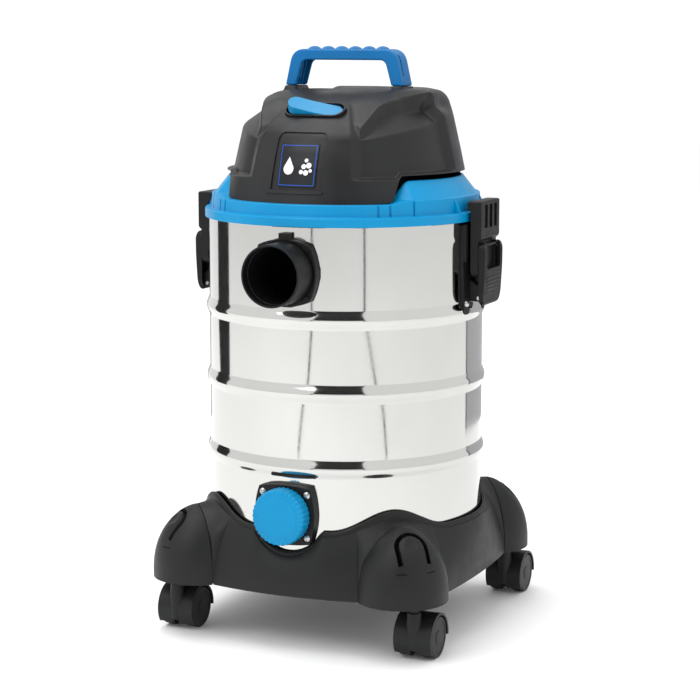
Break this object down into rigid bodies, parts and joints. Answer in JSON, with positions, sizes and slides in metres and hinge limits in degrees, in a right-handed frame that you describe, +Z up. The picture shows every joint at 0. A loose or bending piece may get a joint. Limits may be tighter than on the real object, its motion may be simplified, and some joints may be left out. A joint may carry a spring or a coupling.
{
  "type": "shop vacuum",
  "caption": "Wet and dry shop vacuum: polished steel tank on a castered dolly, side latches, and a lift-off motor head with handle, rocker switch, hose inlet and drain.",
  "frame": {"origin": "on the floor under the tank's vertical axis, which is the centre of the footprint", "axes": "+Z up; -Y is the front, with the hose inlet, the switch and the drain; +X is to the right of a viewer who faces the front"},
  "size_m": [0.329, 0.359, 0.601],
  "materials": {
    "polished_steel": "bright polished stainless sheet",
    "black_plastic": "fine-grained moulded plastic",
    "rubber": "matte",
    "cap_blue": "satin moulded plastic",
    "collar_blue": "satin moulded plastic",
    "handle_blue": "satin moulded plastic",
    "switch_blue": "satin moulded plastic",
    "switch_black": "satin moulded plastic",
    "label": "printed plate, glossy",
    "head_grey": "fine-grained moulded plastic",
    "dolly_grey": "fine-grained moulded plastic",
    "caster_black": "moulded plastic",
    "pin_steel": "zinc plated",
    "motor_steel": "stacked laminations",
    "fan_aluminium": "pressed sheet",
    "copper_winding": "varnished winding",
    "filter_paper": "pleated paper",
    "float_plastic": "moulded plastic"
  },
  "bodies": {
    "root": {"tank_shell": "polished_steel", "tank_floor": "polished_steel", "inlet_port": "black_plastic", "inlet_gasket": "rubber", "inlet_deflector": "black_plastic", "drain_flange": "black_plastic", "drain_gasket": "rubber", "dolly_base": "dolly_grey", "caster_foot_front_left": "dolly_grey", "caster_foot_front_right": "dolly_grey", "caster_foot_rear_left": "dolly_grey", "caster_foot_rear_right": "dolly_grey", "latch_bracket_left": "black_plastic", "latch_bracket_right": "black_plastic", "latch_pin_left": "pin_steel", "latch_pin_right": "pin_steel"},
    "head": {"lid_collar": "collar_blue", "lid_gasket": "rubber", "motor_cover": "head_grey", "carry_handle": "handle_blue", "label_plate": "label", "switch_housing": "switch_black", "blower_port": "black_plastic", "cord_inlet": "black_plastic", "fan_housing": "head_grey", "motor_mount": "head_grey", "bearing_lower": "pin_steel", "bearing_upper": "pin_steel", "motor_stator": "motor_steel", "filter_cage": "black_plastic", "filter_cartridge": "filter_paper", "filter_retainer": "black_plastic"},
    "rotor": {"motor_shaft": "pin_steel", "motor_armature": "copper_winding", "cooling_fan": "black_plastic", "fan_wheel": "fan_aluminium"},
    "rocker": {"switch_rocker": "switch_blue"},
    "float": {"float_ball": "float_plastic"},
    "latch_left": {"latch_hook_left": "black_plastic"},
    "latch_right": {"latch_hook_right": "black_plastic"},
    "lever_left": {"latch_lever_left": "black_plastic"},
    "lever_right": {"latch_lever_right": "black_plastic"},
    "drain_slide": {"drain_cap_seal": "rubber"},
    "drain_cap": {"drain_cap": "cap_blue"},
    "caster_front_left": {"caster_hood_front_left": "caster_black", "caster_axle_front_left": "pin_steel"},
    "wheel_front_left_left": {"caster_wheel_front_left_left": "caster_black"},
    "wheel_front_left_right": {"caster_wheel_front_left_right": "caster_black"},
    "caster_front_right": {"caster_hood_front_right": "caster_black", "caster_axle_front_right": "pin_steel"},
    "wheel_front_right_left": {"caster_wheel_front_right_left": "caster_black"},
    "wheel_front_right_right": {"caster_wheel_front_right_right": "caster_black"},
    "caster_rear_left": {"caster_hood_rear_left": "caster_black", "caster_axle_rear_left": "pin_steel"},
    "wheel_rear_left_left": {"caster_wheel_rear_left_left": "caster_black"},
    "wheel_rear_left_right": {"caster_wheel_rear_left_right": "caster_black"},
    "caster_rear_right": {"caster_hood_rear_right": "caster_black", "caster_axle_rear_right": "pin_steel"},
    "wheel_rear_right_left": {"caster_wheel_rear_right_left": "caster_black"},
    "wheel_rear_right_right": {"caster_wheel_rear_right_right": "caster_black"}
  },
  "joints": [
    {"name": "head_lift", "type": "slide", "parent": "root", "child": "head", "axis": [0, 0, 1], "range_m": [0, 0.15]},
    {"name": "rotor_spin", "type": "hinge", "parent": "head", "child": "rotor", "pos_m": [0, 0, 0.5], "axis": [0, 0, 1], "continuous": true},
    {"name": "rocker_tilt", "type": "hinge", "parent": "head", "child": "rocker", "pos_m": [0, -0.075, 0.5375], "axis": [0, 0.829, 0.5592], "range_deg": [-28, 0]},
    {"name": "float_rise", "type": "slide", "parent": "head", "child": "float", "axis": [0, 0, 1], "range_m": [0, 0.055]},
    {"name": "latch_swing_left", "type": "hinge", "parent": "root", "child": "latch_left", "pos_m": [-0.155, 0, 0.3495], "axis": [0, -1, 0], "range_deg": [0, 105]},
    {"name": "lever_swing_left", "type": "hinge", "parent": "latch_left", "child": "lever_left", "pos_m": [-0.16, 0, 0.403], "axis": [0, 1, 0], "range_deg": [0, 70]},
    {"name": "latch_swing_right", "type": "hinge", "parent": "root", "child": "latch_right", "pos_m": [0.155, 0, 0.3495], "axis": [0, 1, 0], "range_deg": [0, 105]},
    {"name": "lever_swing_right", "type": "hinge", "parent": "latch_right", "child": "lever_right", "pos_m": [0.16, 0, 0.403], "axis": [0, -1, 0], "range_deg": [0, 70]},
    {"name": "drain_travel", "type": "slide", "parent": "root", "child": "drain_slide", "axis": [0, -1, 0], "range_m": [0, 0.012]},
    {"name": "drain_turn", "type": "hinge", "parent": "drain_slide", "child": "drain_cap", "pos_m": [0, -0.1685, 0.139], "axis": [0, -1, 0], "range_deg": [0, 1080]},
    {"name": "swivel_front_left", "type": "hinge", "parent": "root", "child": "caster_front_left", "pos_m": [-0.133, -0.133, 0.07], "axis": [0, 0, 1], "continuous": true},
    {"name": "roll_front_left_left", "type": "hinge", "parent": "caster_front_left", "child": "wheel_front_left_left", "pos_m": [-0.133, -0.115, 0.021], "axis": [1, 0, 0], "continuous": true},
    {"name": "roll_front_left_right", "type": "hinge", "parent": "caster_front_left", "child": "wheel_front_left_right", "pos_m": [-0.133, -0.115, 0.021], "axis": [1, 0, 0], "continuous": true},
    {"name": "swivel_front_right", "type": "hinge", "parent": "root", "child": "caster_front_right", "pos_m": [0.133, -0.133, 0.07], "axis": [0, 0, 1], "continuous": true},
    {"name": "roll_front_right_left", "type": "hinge", "parent": "caster_front_right", "child": "wheel_front_right_left", "pos_m": [0.133, -0.115, 0.021], "axis": [1, 0, 0], "continuous": true},
    {"name": "roll_front_right_right", "type": "hinge", "parent": "caster_front_right", "child": "wheel_front_right_right", "pos_m": [0.133, -0.115, 0.021], "axis": [1, 0, 0], "continuous": true},
    {"name": "swivel_rear_left", "type": "hinge", "parent": "root", "child": "caster_rear_left", "pos_m": [-0.133, 0.133, 0.07], "axis": [0, 0, 1], "continuous": true},
    {"name": "roll_rear_left_left", "type": "hinge", "parent": "caster_rear_left", "child": "wheel_rear_left_left", "pos_m": [-0.133, 0.151, 0.021], "axis": [1, 0, 0], "continuous": true},
    {"name": "roll_rear_left_right", "type": "hinge", "parent": "caster_rear_left", "child": "wheel_rear_left_right", "pos_m": [-0.133, 0.151, 0.021], "axis": [1, 0, 0], "continuous": true},
    {"name": "swivel_rear_right", "type": "hinge", "parent": "root", "child": "caster_rear_right", "pos_m": [0.133, 0.133, 0.07], "axis": [0, 0, 1], "continuous": true},
    {"name": "roll_rear_right_left", "type": "hinge", "parent": "caster_rear_right", "child": "wheel_rear_right_left", "pos_m": [0.133, 0.151, 0.021], "axis": [1, 0, 0], "continuous": true},
    {"name": "roll_rear_right_right", "type": "hinge", "parent": "caster_rear_right", "child": "wheel_rear_right_right", "pos_m": [0.133, 0.151, 0.021], "axis": [1, 0, 0], "continuous": true}
  ],
  "couplings": [
    {"joint": "latch_swing_left", "follows": "head_lift", "rad_per_m": 12.2},
    {"joint": "latch_swing_right", "follows": "head_lift", "rad_per_m": 12.2},
    {"joint": "drain_travel", "follows": "drain_turn", "m_per_rad": 0.000636}
  ]
}
